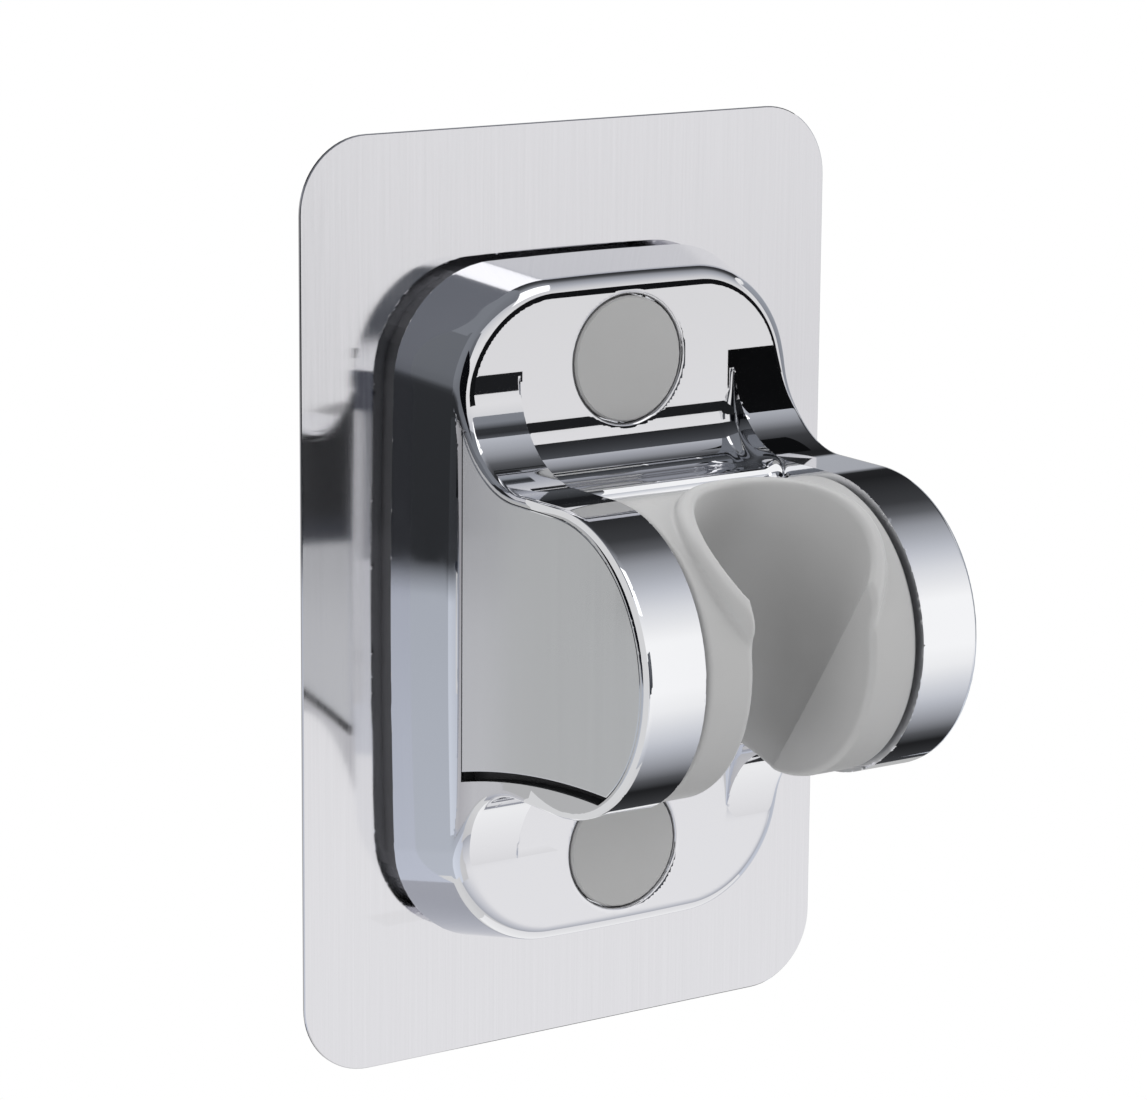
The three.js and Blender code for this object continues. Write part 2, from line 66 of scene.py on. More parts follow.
joint = frame["joints"][0]
PIVOT_DEPTH = -joint["pos_m"][1] / MM
MIDDLE = joint["pos_m"][2] / MM
REST_TILT = -math.radians(joint["range_deg"][0])

plate_low, plate_high = node_box("mounting_plate")
body_low, body_high = node_box("body_shell")
cover_low, cover_high = node_box("side_cover_right")
bush_low = node_box("pivot_bush_right")[0]
insert_high = node_box("pivot_insert_right")[1]
cap_low, cap_high = node_box("screw_cap_upper")

PLATE_BACK = -plate_high[1]
PLATE_FRONT = -plate_low[1]
BODY_BACK = -body_high[1]
BODY_FRONT = -cap_low[1]
BACK_HALF_WIDTH = body_high[0]
BACK_HALF_HEIGHT = (body_high[2] - body_low[2]) / 2
BARREL_RADIUS = -body_low[1] - PIVOT_DEPTH
ARM_INNER = bush_low[0]
ARM_OUTER = cover_high[0]
COVER_FLOOR = cover_low[0]
DRUM_END = insert_high[0]
CAP_RADIUS = (cap_high[0] - cap_low[0]) / 2

# Shape of the plate, the body and its arms
PLATE_CORNER = 9.5
PLATE_EDGE = 0.12
BODY_CORNER = 13.5
BODY_EDGE_ROUND = 1.8
FRONT_HALF_WIDTH = 26.0
FRONT_HALF_HEIGHT = 42.7
SIDE_CROWN = 1.0
TOP_CROWN = 0.7
BODY_WALL = 2.2
SWEEP_RADIUS = 12.2
RIM_ROUND = 0.9
RIM_BLEND = 9.0
INNER_EDGE_ROUND = 0.04
INNER_EDGE_SHARE = 0.35
ROOT_FILLET = 1.8
ROOT_FILLET_SHARE = 0.6
LEAST_ROUND = 1e-3
SOCKET_GAP = 0.8
SADDLE_FILLET = 6.0
LIP_ROUND = 1.6
LIP_SETBACK = 10.4
POCKET_WALL = 3.4
BUSH_HOLE = 4.52
COVER_RIM = 1.0
COVER_GAP = 0.12
COVER_SETBACK = 0.3
COVER_LEDGE = 1.6
COVER_DROP_BACK = 19.4
COVER_DROP_FRONT = 15.3
COVER_EDGE = 0.15
COVER_EASE_SHARE = 0.3
PRY_SLOT = 1.3
CAP_GAP = 0.2
CAP_SEAT = 6.4
CAP_EDGE = 0.5
BOSS_WALL = 1.8
STUD_HOLE = 2.9

# Shape of the cradle
DRUM_SETBACK = 0.5
DRUM_RADIUS = BARREL_RADIUS - DRUM_SETBACK
SOCKET_RADIUS = DRUM_RADIUS + SOCKET_GAP
DRUM_EDGE = 0.8
COLLAR_PROUD = 1.5
COLLAR_OUTER = 13.7
COLLAR_ROUND = 1.1
COLLAR_FOOT = 0.5
BORE_TOP = 11.5
BORE_BOTTOM = 9.4
BORE_OFFSET = 3.9
SLOT_HALF = 8.8
MOUTH_ROUND = 0.85

# Grid steps of the meshes, and how far a grid reaches past its piece
BODY_STEP = 0.38
CRADLE_STEP = 0.4
BOX_MARGIN = 1.5

FIXINGS = {}
for fixing in ("upper", "lower"):
    fixing_low, fixing_high = node_box(f"screw_cap_{fixing}")
    FIXINGS[fixing] = (fixing_low[2] + fixing_high[2]) / 2
SIDES = {"left": -1, "right": 1}


# Fields: distances that are negative inside, and ways to join and cut them
def fillet_union(a, b, radius):
    hollow = np.hypot(np.maximum(radius - a, 0), np.maximum(radius - b, 0))
    return np.maximum(np.minimum(a, b), radius) - hollow


def round_intersection(a, b, radius):
    bulge = np.hypot(np.maximum(a + radius, 0), np.maximum(b + radius, 0))
    return np.minimum(np.maximum(a, b), -radius) + bulge


def smooth_share(value, start, end):
    share = np.clip((value - start) / (end - start), 0, 1)
    return share * share * (3 - 2 * share)


def outline_distance(x, height, half_width, half_height, corner):
    """A rounded rectangle whose edges bow out a little."""
    across = np.abs(x) + SIDE_CROWN * (height / half_height) ** 2
    along = np.abs(height) + TOP_CROWN * (x / half_width) ** 2
    u = across - (half_width - corner)
    v = along - (half_height - corner)
    return np.hypot(np.maximum(u, 0), np.maximum(v, 0)) + np.minimum(np.maximum(u, v), 0) - corner


def body_side(x, depth, height, inset=0.0):
    """Distance from the drafted sides of the body."""
    share = (depth - BODY_BACK) / (BODY_FRONT - BODY_EDGE_ROUND - BODY_BACK)
    half_width = BACK_HALF_WIDTH + (FRONT_HALF_WIDTH - BACK_HALF_WIDTH) * share - inset
    half_height = BACK_HALF_HEIGHT + (FRONT_HALF_HEIGHT - BACK_HALF_HEIGHT) * share - inset
    draft = math.atan2(BACK_HALF_WIDTH - FRONT_HALF_WIDTH, BODY_FRONT - BODY_EDGE_ROUND - BODY_BACK)
    return outline_distance(x, height, half_width, half_height, BODY_CORNER - inset) * math.cos(draft)


def arm_profile(depth, height):
    """An arm seen from the side: a barrel end, and a sweep above and below into the body's front."""
    barrel = np.hypot(np.maximum(depth - PIVOT_DEPTH, 0), height) - BARREL_RADIUS
    return fillet_union(depth - BODY_FRONT, barrel, SWEEP_RADIUS)


def inner_wall_height(height):
    """How far an arm stands proud of what lies between the arms, by height above or below the pivot."""
    climb = np.clip(BARREL_RADIUS + SWEEP_RADIUS - height, 0, SWEEP_RADIUS)
    return SWEEP_RADIUS - np.sqrt(np.maximum(SWEEP_RADIUS**2 - climb**2, 0))


def cover_foot(depth, rim, setback, lift):
    """Height of the curved lower edge of a side cover, which is level at the front and drops to the back."""
    drop_back = COVER_DROP_BACK - lift
    drop_front = COVER_DROP_FRONT - lift
    back = BODY_FRONT + setback
    front = PIVOT_DEPTH + math.sqrt((BARREL_RADIUS - rim) ** 2 - drop_front**2)
    left = 1 - np.clip((depth - back) / (front - back), 0, 1)
    return -drop_front - (drop_back - drop_front) * left**2


def cover_profile(depth, height, rim, setback, lift):
    foot = cover_foot(depth, rim, setback, lift) - height
    back = BODY_FRONT + setback - depth
    return np.maximum(np.maximum(arm_profile(depth, height) + rim, back), foot)


def saddle_field(depth, height):
    """What lies between the arms: the body's front, and a shelf with a rounded lip behind the drum."""
    shelf_height = math.sqrt(SOCKET_RADIUS**2 - LIP_SETBACK**2) + LIP_ROUND
    lip = depth - (PIVOT_DEPTH - LIP_SETBACK)
    shelf = round_intersection(np.abs(height) - shelf_height, lip, LIP_ROUND)
    return fillet_union(depth - BODY_FRONT, shelf, SADDLE_FILLET)


def arms_field(out, depth, height, side):
    """Both arms and the saddle. The arms' outer rims blend into the sides of the body."""
    wall = inner_wall_height(np.abs(height))
    root_fillet = np.clip(ROOT_FILLET_SHARE * wall, LEAST_ROUND, ROOT_FILLET)
    root = fillet_union(saddle_field(depth, height), ARM_INNER - out, root_fillet)
    edge_round = np.clip(INNER_EDGE_SHARE * wall, LEAST_ROUND, INNER_EDGE_ROUND)
    arms = round_intersection(arm_profile(depth, height), root, edge_round)
    sweep_end = BARREL_RADIUS + SWEEP_RADIUS
    share = smooth_share(np.abs(height), sweep_end - RIM_BLEND, sweep_end)
    outer = (out - ARM_OUTER) * (1 - share) + side * share
    rim = RIM_ROUND * (1 - share) + BODY_EDGE_ROUND * share
    arms = round_intersection(arms, outer, rim)
    return np.maximum(arms, np.maximum(np.abs(height) - sweep_end, BODY_FRONT - BODY_WALL - depth))


def cut_arms(solid, out, depth, height):
    """Cuts the drum's socket, a recess and a deeper pocket for each side cover, and the bushes' holes."""
    about_pivot = np.hypot(depth - PIVOT_DEPTH, height)
    solid = np.maximum(solid, -np.maximum(about_pivot - SOCKET_RADIUS, out - ARM_INNER))
    recess = cover_profile(depth, height, COVER_RIM, COVER_SETBACK, 0.0)
    solid = np.maximum(solid, -np.maximum(recess, COVER_FLOOR - out))
    pocket = cover_profile(depth, height, COVER_RIM + COVER_LEDGE, COVER_SETBACK + COVER_LEDGE, COVER_LEDGE)
    solid = np.maximum(solid, -np.maximum(pocket, ARM_INNER + POCKET_WALL - out))
    return np.maximum(solid, -np.maximum(about_pivot - BUSH_HOLE, DRUM_END - out))


def cut_fixings(solid, x, depth, z):
    """Hollows the body from behind, apart from a boss at each fixing, and cuts the caps' and studs' holes."""
    cavity = np.maximum(body_side(x, depth, z - MIDDLE, BODY_WALL), depth - (BODY_FRONT - BODY_WALL))
    from_fixings = [np.hypot(x, z - place) for place in FIXINGS.values()]
    for from_fixing in from_fixings:
        cavity = np.maximum(cavity, CAP_RADIUS + CAP_GAP + BOSS_WALL - from_fixing)
    solid = np.maximum(solid, -cavity)
    for from_fixing in from_fixings:
        cap_hole = np.maximum(from_fixing - CAP_RADIUS - CAP_GAP, CAP_SEAT - depth)
        solid = round_intersection(solid, -cap_hole, CAP_EDGE)
        solid = np.maximum(solid, STUD_HOLE - from_fixing)
    return solid


def body_field(x, y, z):
    """The body shell: a hollow drafted form with two arms, and a saddle between them behind the drum."""
    depth = -y
    height = z - MIDDLE
    out = np.abs(x)
    side = body_side(x, depth, height)
    form = round_intersection(side, depth - BODY_FRONT, BODY_EDGE_ROUND)
    form = np.maximum(form, BODY_BACK - depth)
    solid = np.minimum(form, arms_field(out, depth, height, side))
    solid = cut_arms(solid, out, depth, height)
    return cut_fixings(solid, x, depth, z)


def cradle_field(x, y, z):
    """The cradle about its own axis, bore upright: a drum, a collar, a conical bore and a front slot."""
    about_axis = np.hypot(y, z)
    about_bore = np.hypot(x, y + BORE_OFFSET)
    drum = round_intersection(about_axis - DRUM_RADIUS, np.abs(x) - DRUM_END, DRUM_EDGE)
    crown = np.maximum(about_axis - DRUM_RADIUS - COLLAR_PROUD, -z)
    collar = round_intersection(about_bore - COLLAR_OUTER, crown, COLLAR_ROUND)
    outside = fillet_union(drum, collar, COLLAR_FOOT)
    taper = (BORE_TOP - BORE_BOTTOM) / (2 * DRUM_RADIUS + COLLAR_PROUD)
    bore = (about_bore - BORE_BOTTOM - taper * (z + DRUM_RADIUS)) * math.cos(math.atan(taper))
    slot = np.maximum(np.abs(x) - SLOT_HALF, y + BORE_OFFSET)
    return round_intersection(outside, -np.minimum(bore, slot), MOUTH_ROUND)


# Meshing of fields
def slopes(field, points):
    """Unit directions in which the field grows."""
    reach = 0.01
    least = 1e-12
    found = np.empty_like(points)
    for axis in range(3):
        shift = np.zeros(3)
        shift[axis] = reach
        found[:, axis] = field(*(points + shift).T) - field(*(points - shift).T)
    return found / np.maximum(np.linalg.norm(found, axis=1, keepdims=True), least)


def crossings(field, values, low, step, axis):
    """Where grid edges along an axis cross the surface: grid places, points and whether they leave it."""
    tries = 3
    count = values.shape[axis]
    here = np.take(values, range(count - 1), axis)
    there = np.take(values, range(1, count), axis)
    places = np.argwhere((here < 0) != (there < 0))
    start = here[tuple(places.T)].astype(float)
    end = there[tuple(places.T)].astype(float)
    share = start / (start - end)
    points = low + places * step
    base = points[:, axis].copy()
    for _ in range(tries):
        points[:, axis] = base + share * step
        share = np.clip(share - field(*points.T) / (end - start), 0, 1)
    points[:, axis] = base + share * step
    return places, points, start < 0


def cells_about(places, axis, shape):
    """The four grid cells about each grid edge along an axis, in order round it."""
    unit = np.eye(3, dtype=int)
    u, v = unit[(axis + 1) % 3], unit[(axis + 2) % 3]
    return [np.ravel_multi_index((places - a * u - b * v).T, shape)
            for a, b in ((0, 0), (1, 0), (1, 1), (0, 1))]


def fitted_points(points, normals, row, cell_count):
    """For each cell, the point that lies nearest the planes of its crossings, held towards their middle."""
    steadiness = 0.03

    def total(weights):
        return np.bincount(row, weights, cell_count)

    count = np.bincount(row, minlength=cell_count).astype(float)
    middle = np.stack([total(points[:, k]) for k in range(3)], axis=1) / count[:, None]
    offset = np.einsum("ij,ij->i", normals, points - middle[row])
    matrix = np.empty((cell_count, 3, 3))
    for j in range(3):
        for k in range(3):
            matrix[:, j, k] = total(normals[:, j] * normals[:, k]) / count
    target = np.stack([total(normals[:, k] * offset) for k in range(3)], axis=1) / count[:, None]
    return middle + np.linalg.solve(matrix + steadiness * np.eye(3), target[:, :, None])[:, :, 0]


def contour(field, low, high, step):
    """The surface where a field is zero, by dual contouring: points, quads and normals at quad corners."""
    low = np.array(low, float)
    axes = [np.arange(low[k], high[k] + step, step) for k in range(3)]
    values = field(*np.ix_(*axes)).astype(np.float32)
    found = []
    quads = []
    for axis in range(3):
        places, points, leaving = crossings(field, values, low, step, axis)
        normals = slopes(field, points)
        cells = cells_about(places, axis, values.shape)
        found += [(cell, points, normals) for cell in cells]
        corner_cells = np.stack(cells, axis=1)
        corner_cells[~leaving] = corner_cells[~leaving][:, ::-1]
        quads.append(corner_cells)
    cell, points, normals = (np.concatenate(column) for column in zip(*found))
    used, row = np.unique(cell, return_inverse=True)
    corner = low + np.stack(np.unravel_index(used, values.shape), axis=1) * step
    vertices = np.clip(fitted_points(points, normals, row, len(used)), corner, corner + step)
    faces = np.searchsorted(used, np.concatenate(quads))
    return vertices, faces, corner_normals(field, vertices, faces)


def corner_normals(field, vertices, faces):
    """Smooth normals, but each side's own where the surface has a sharp edge."""
    crease = math.cos(math.radians(25))
    inward = 0.35
    smooth = slopes(field, vertices)[faces]
    centre = vertices[faces].mean(axis=1, keepdims=True)
    near = vertices[faces] * (1 - inward) + centre * inward
    own = slopes(field, near.reshape(-1, 3)).reshape(near.shape)
    sharp = np.einsum("ijk,ijk->ij", smooth, own) < crease
    smooth[sharp] = own[sharp]
    return smooth


def field_piece(name, field, low, high, step, place=None):
    vertices, faces, normals = contour(field, low, high, step)
    if place is not None:
        turn = np.array(place.to_3x3())
        vertices = vertices @ turn.T + np.array(place.translation)
        normals = normals @ turn.T
    mesh = bpy.data.meshes.new(name)
    mesh.from_pydata((vertices * MM).tolist(), [], faces.tolist())
    mesh.polygons.foreach_set("use_smooth", [True] * len(faces))
    mesh.normals_split_custom_set(normals.reshape(-1, 3).tolist())
    return add_object(name, mesh)


def add_object(name, mesh):
    made = bpy.data.objects.new(name, mesh)
    bpy.context.scene.collection.objects.link(made)
    return made


# Meshing of flat pieces
SHARP_ANGLE = math.radians(35)
MERGE_DISTANCE = 1e-7


def skin_piece(name, rings):
    """A closed skin over rings of equal point counts, in millimetres."""
    mesh = bmesh.new()
    rows = [[mesh.verts.new(p) for p in np.asarray(ring) * MM] for ring in rings]
    count = len(rows[0])
    for lower, upper in zip(rows, rows[1:]):
        for i in range(count):
            j = (i + 1) % count
            mesh.faces.new((lower[i], lower[j], upper[j], upper[i]))
    mesh.faces.new(rows[0][::-1])
    mesh.faces.new(rows[-1])
    bmesh.ops.remove_doubles(mesh, verts=mesh.verts, dist=MERGE_DISTANCE)
    bmesh.ops.recalc_face_normals(mesh, faces=mesh.faces)
    made = bpy.data.meshes.new(name)
    mesh.to_mesh(made)
    mesh.free()
    made.set_sharp_from_angle(angle=SHARP_ANGLE)
    for polygon in made.polygons:
        polygon.use_smooth = polygon.loop_total <= 4
    return add_object(name, made)


def rounded_rectangle(half_width, half_height, corner, steps=16):
    points = []
    for k, (u, v) in enumerate(((1, 1), (-1, 1), (-1, -1), (1, -1))):
        for angle in np.linspace(k, k + 1, steps + 1) * math.pi / 2:
            x = u * (half_width - corner) + corner * math.cos(angle)
            z = v * (half_height - corner) + corner * math.sin(angle)
            points.append((x, z))
    return np.array(points)


# Camera at the photograph's viewing angle
PHOTO_WIDTH = 1147
FOCAL_PIXELS = 4242.58
CAMERA_AZIMUTH = math.radians(-34.333)
CAMERA_ELEVATION = math.radians(12.321)
CAMERA_ROLL = math.radians(0.466)
CAMERA_DISTANCE = 547.55
CAMERA_TARGET = Vector((0.635, -1.0, 4.37))
SENSOR_WIDTH = 36
CLIP_START = 0.01
CLIP_END = 20


def make_camera():
    flat = math.cos(CAMERA_ELEVATION)
    back = Vector((
        math.sin(CAMERA_AZIMUTH) * flat, -math.cos(CAMERA_AZIMUTH) * flat, math.sin(CAMERA_ELEVATION),
    ))
    right = Vector((0, 0, 1)).cross(back).normalized()
    up = back.cross(right)
    turned_right = right * math.cos(CAMERA_ROLL) + up * math.sin(CAMERA_ROLL)
    turned_up = up * math.cos(CAMERA_ROLL) - right * math.sin(CAMERA_ROLL)
    data = bpy.data.cameras.new("camera")
    data.sensor_fit = "HORIZONTAL"
    data.sensor_width = SENSOR_WIDTH
    data.lens = FOCAL_PIXELS / PHOTO_WIDTH * data.sensor_width
    data.clip_start = CLIP_START
    data.clip_end = CLIP_END
    camera = add_object("camera", data)
    matrix = Matrix((turned_right, turned_up, back)).transposed().to_4x4()
    matrix.translation = (CAMERA_TARGET + back * CAMERA_DISTANCE) * MM
    camera.matrix_world = matrix
    bpy.context.scene.camera = camera


# Studio: a white room, soft lamps, a pale floor, and cards that only show in the metal
FLOOR_HEIGHT = -1.0
FLOOR_RADIUS = 1.4
FLOOR_POINTS = 96
ROOM_LIGHT = 0.6
SEEN_LIGHT = 1.0
LAMP_SIZE = 0.8
LAMPS = {
    "right": ((0.9, -0.42, 0.15), 6.0),
    "left": ((-0.9, -0.35, 0.1), 3.5),
    "over": ((0.2, 0.35, 0.95), 9.0),
}

# Colours of the cards
WHITE_TINT = (1, 1, 1)
DARK_TINT = (0.85, 0.9, 1.0)
NIGHT_TINT = (0.68, 0.75, 1.0)
DAY_TINT = (0.96, 0.98, 1.03)
TUNNEL_TINT = (0.92, 0.95, 1.03)

# Brightness round the cross axis, by angle up from straight ahead: bright in front, dark above and below
TUNNEL_RADIUS = 0.8
TUNNEL_SPAN = (-1.5, 1.5)
TUNNEL_ROWS = 180
TUNNEL_GAIN = 1.02
TUNNEL_WHITENING = (0.5, 1.0)
TUNNEL_GLOW = (
    (-178, 0.45), (-160, 0.30), (-140, 0.06), (-103, 0.015), (-91, 0.10), (-78, 0.31), (-66, 0.48),
    (-54, 0.65), (-42, 0.78), (-30, 0.92), (-15, 1.0), (20, 1.0), (32, 0.88), (44, 0.77), (56, 0.63),
    (68, 0.48), (81, 0.33), (93, 0.12), (105, 0.05), (142, 0.017), (156, 0.02), (165, 0.45), (178, 0.45),
)

# Brightness of the far wall, by angle up
WALL_RADIUS = 0.7
WALL_ROWS = 200
WALL_COLUMNS = 25
ROOF_ROWS = 9
PLATE_SHARE = 0.72
SIDE_WALL_GLOW = (
    (-60, 0.6), (-25, 0.58), (-11.5, 0.5), (-11.2, 0.03), (0, 0.035), (3, 0.05), (7, 0.145), (14, 0.165),
    (24, 0.17), (58, 0.175),
)
PLATE_WALL_GLOW = [(angle, level / PLATE_SHARE) for angle, level in SIDE_WALL_GLOW]
RIGHT_WALL_GLOW = ((-40, 0.8), (-12.5, 0.6), (-12.2, 0.35), (10, 0.4), (24, 0.45))
LEFT_FRONT_GLOW = ((-60, 0.62), (-45, 0.64), (-30, 0.72), (-13, 0.75), (-12, 0.62), (0, 0.62))
CORNER_BAND_GLOW = ((-12.2, 0.05), (-9, 0.06), (-5, 0.09), (0, 0.12), (13, 0.15))
LEFT_UPPER_GLOW = ((0, 0.05), (7, 0.15), (58, 0.22))
LOW_FRONT_GLOW = ((-60, 0.74), (-44, 0.78))
REAR_GLOW = ((-35, 0.5), (-12, 0.47), (10, 0.44))

# Parts of the far wall: ends in degrees right of straight ahead, brightness, colour
WALL_CARDS = {
    "left_wall_card": ((-125, -90), SIDE_WALL_GLOW, DARK_TINT),
    "left_plate_wall_card": ((-90, -48), PLATE_WALL_GLOW, DARK_TINT),
    "left_upper_card": ((-48, -34), LEFT_UPPER_GLOW, DARK_TINT),
    "right_wall_card": ((75, 125), RIGHT_WALL_GLOW, DARK_TINT),
    "corner_band_card": ((2, 25), CORNER_BAND_GLOW, DARK_TINT),
    "left_front_card": ((-48, -18), LEFT_FRONT_GLOW, WHITE_TINT),
    "low_front_card": ((-18, 14), LOW_FRONT_GLOW, WHITE_TINT),
    "left_rear_card": ((-178, -126), REAR_GLOW, WHITE_TINT),
    "right_rear_card": ((126, 178), REAR_GLOW, WHITE_TINT),
}

# Parts of a far roof and floor: ends across in metres, degrees up from straight ahead, brightness, colour
ROOF_CARDS = {
    "over_light_card": ((0.055, 0.36), (38, 72), 1.6, WHITE_TINT),
    "over_dark_card": ((-0.6, 0.055), (50, 125), 0.24, DARK_TINT),
    "under_light_card": ((-0.7, 0.36), (-140, -64), 0.7, WHITE_TINT),
}

# Cards in front of the part, in millimetres: depth, ends across, heights, brightness upwards, colour
FRONT_CARDS = {
    "front_dark_card": (120, (-29, -17), (-19.4, 14), (0.14, 0.08, 0.08, 0.09), NIGHT_TINT),
    "front_light_card": (120, (-29, -17), (-52, -19.6), (0.8, 0.76, 0.66), DAY_TINT),
}

# Cards over the sweeps and the trough, given in the same way
SWEEP_CARDS = {
    "left_sweep_edge_card": (17, (-22.7, -13.8), (29.2, 30.5), (0.02, 0.02), DARK_TINT),
    "left_sweep_card": (17, (-23.2, -14.3), (25.3, 27.7), (0.12, 0.04, 0.05, 0.3, 0.33), DARK_TINT),
    "right_sweep_card": (17, (17.8, 28), (24.2, 30.4), (0.005, 0.005), DARK_TINT),
    "trough_edge_card": (15.5, (-15, 17.3), (23.0, 24.2), (0.02, 0.02), DARK_TINT),
    "trough_card": (15.5, (-15, 17.3), (20.9, 22.3), (0.1, 0.03), DARK_TINT),
}

# Level cards above and below the arms, in millimetres: ends across, depths, height, brightness
LEVEL_CARDS = {
    "lip_light_card": ((-7, 20), (27, 21.6), 22, (1, 1)),
    "left_lower_card": ((-23, -9.8), (17.6, 14.2), -31.2, (1, 0.9)),
    "right_lower_card": ((18.3, 31.5), (17.6, 14.2), -31.2, (1, 0.9)),
    "lower_edge_card": ((-22, 27), (15.5, 10.5), -45, (0.93, 0.93)),
}

# A card to the left of the part, in millimetres: place across, depths, heights, slope of its rows, brightness
SIDE_CARD_PLACE = -45
SIDE_CARD_DEPTHS = (28, 80)
SIDE_CARD_HEIGHTS = (-3.8, 1, 45)
SIDE_CARD_SLOPE = 0.22
SIDE_CARD_GLOW = (0.05, 0.005, 0.005)

# A strip along the edge of the left barrel: (place across, distance from the pivot), degrees, brightness
RIM_CARD_PLACES = ((-26, 18.4), (-25.9, 19.5), (-24.6, 20.1))
RIM_CARD_TURNS = (-110, 110)
RIM_CARD_COLUMNS = 45
RIM_CARD_GLOW = 0.72

# A line over the upper edge of the body's front, in millimetres
EDGE_CARD_DEPTH = 15
EDGE_CARD_INSETS = (0.9, 2.2)
EDGE_CARD_SHIFT = (0.8, -0.3)
EDGE_CARD_GLOW = 0.01


def make_world():
    """White where the camera or a mirror sees it, and dimmer where it only lights."""
    world = bpy.data.worlds.new("studio")
    world.use_nodes = True
    bpy.context.scene.world = world
    nodes, links = world.node_tree.nodes, world.node_tree.links
    nodes.clear()
    path = nodes.new("ShaderNodeLightPath")
    seen = path.outputs["Is Camera Ray"]
    for ray in ("Is Glossy Ray", "Is Transmission Ray"):
        either = nodes.new("ShaderNodeMath")
        either.operation = "MAXIMUM"
        links.new(seen, either.inputs[0])
        links.new(path.outputs[ray], either.inputs[1])
        seen = either.outputs[0]
    mix = nodes.new("ShaderNodeMixShader")
    links.new(seen, mix.inputs[0])
    for place, strength in ((1, ROOM_LIGHT), (2, SEEN_LIGHT)):
        light = nodes.new("ShaderNodeBackground")
        light.inputs["Color"].default_value = (1, 1, 1, 1)
        light.inputs["Strength"].default_value = strength
        links.new(light.outputs[0], mix.inputs[place])
    output = nodes.new("ShaderNodeOutputWorld")
    links.new(mix.outputs[0], output.inputs["Surface"])


def make_lamps():
    """Soft lamps from both sides and from above and behind, so that light hardly reaches down the bore."""
    for side, (place, power) in LAMPS.items():
        data = bpy.data.lights.new(f"lamp_{side}", "AREA")
        data.energy = power
        data.size = LAMP_SIZE
        lamp = add_object(f"lamp_{side}", data)
        lamp.location = place
        lamp.rotation_mode = "QUATERNION"
        lamp.rotation_quaternion = (-Vector(place)).to_track_quat("-Z", "Y")
        lamp.visible_glossy = False


def card(name, rows, glow, colour):
    """A card that only mirrors see: a grid of points in metres, with a brightness for each row of points."""
    mesh = bpy.data.meshes.new(name)
    rows = np.asarray(rows, float)
    tall, wide = rows.shape[:2]
    faces = [(r * wide + c, r * wide + c + 1, (r + 1) * wide + c + 1, (r + 1) * wide + c)
             for r in range(tall - 1) for c in range(wide - 1)]
    mesh.from_pydata(rows.reshape(-1, 3).tolist(), [], faces)
    colours = np.ones((tall, 4), np.float32)
    colours[:, :3] = np.asarray(glow)[:, None] * np.asarray(colour)
    level = mesh.attributes.new("glow", "FLOAT_COLOR", "POINT")
    level.data.foreach_set("color", np.repeat(colours, wide, axis=0).ravel())
    mesh.materials.append(make_glow(name))
    made = add_object(name, mesh)
    made.visible_camera = False
    made.visible_diffuse = False
    made.visible_shadow = False


def make_glow(name):
    """Light of the colour that is stored on a card's points."""
    material = bpy.data.materials.new(name)
    material.use_nodes = True
    nodes, links = material.node_tree.nodes, material.node_tree.links
    nodes.clear()
    shade = nodes.new("ShaderNodeAttribute")
    shade.attribute_name = "glow"
    emission = nodes.new("ShaderNodeEmission")
    links.new(shade.outputs["Color"], emission.inputs["Color"])
    output = nodes.new("ShaderNodeOutputMaterial")
    links.new(emission.outputs[0], output.inputs["Surface"])
    return material


def make_tunnel():
    """Wraps round the cross axis, so that the barrels and sweeps shade from bright in front to dark above."""
    angles, glow = zip(*TUNNEL_GLOW)
    fine = np.linspace(angles[0], angles[-1], TUNNEL_ROWS)
    axis_y = -PIVOT_DEPTH * MM
    rows = [
        [(x, axis_y - TUNNEL_RADIUS * math.cos(a), TUNNEL_RADIUS * math.sin(a)) for x in TUNNEL_SPAN]
        for a in np.radians(fine)
    ]
    level = np.interp(fine, angles, glow)
    white = smooth_share(level, *TUNNEL_WHITENING)[:, None]
    card("tunnel_card", rows, TUNNEL_GAIN * level, white + (1 - white) * np.array(TUNNEL_TINT))


def make_wall_cards():
    for name, (azimuths, glow, colour) in WALL_CARDS.items():
        angles, levels = zip(*glow)
        fine = np.linspace(angles[0], angles[-1], WALL_ROWS)
        across = np.radians(np.linspace(*azimuths, WALL_COLUMNS))
        rows = []
        for angle in np.radians(fine):
            z = WALL_RADIUS * math.tan(angle)
            rows.append([(WALL_RADIUS * math.sin(a), -WALL_RADIUS * math.cos(a), z) for a in across])
        card(name, rows, np.interp(fine, angles, levels), colour)


def make_roof_cards():
    for name, (across, turns, glow, colour) in ROOF_CARDS.items():
        rows = [[(x, -WALL_RADIUS * math.cos(a), WALL_RADIUS * math.sin(a)) for x in across]
                for a in np.radians(np.linspace(*turns, ROOF_ROWS))]
        card(name, rows, [glow] * len(rows), colour)


def make_upright_cards(cards):
    for name, (depth, across, heights, glow, colour) in cards.items():
        rows = [[(x * MM, -depth * MM, z * MM) for x in across] for z in np.linspace(*heights, len(glow))]
        card(name, rows, glow, colour)


def make_level_cards():
    for name, (across, depths, height, glow) in LEVEL_CARDS.items():
        rows = [[(x * MM, -depth * MM, height * MM) for x in across]
                for depth in np.linspace(*depths, len(glow))]
        card(name, rows, glow, WHITE_TINT)


def make_side_card():
    """A card that is edge-on from the front, and whose rows slope as the rays to the photo's camera do."""
    middle = sum(SIDE_CARD_DEPTHS) / 2
    rows = []
    for height in SIDE_CARD_HEIGHTS:
        row = [(depth, height - SIDE_CARD_SLOPE * (depth - middle)) for depth in SIDE_CARD_DEPTHS]
        rows.append([(SIDE_CARD_PLACE * MM, -depth * MM, z * MM) for depth, z in row])
    card("arm_dark_card", rows, SIDE_CARD_GLOW, NIGHT_TINT)


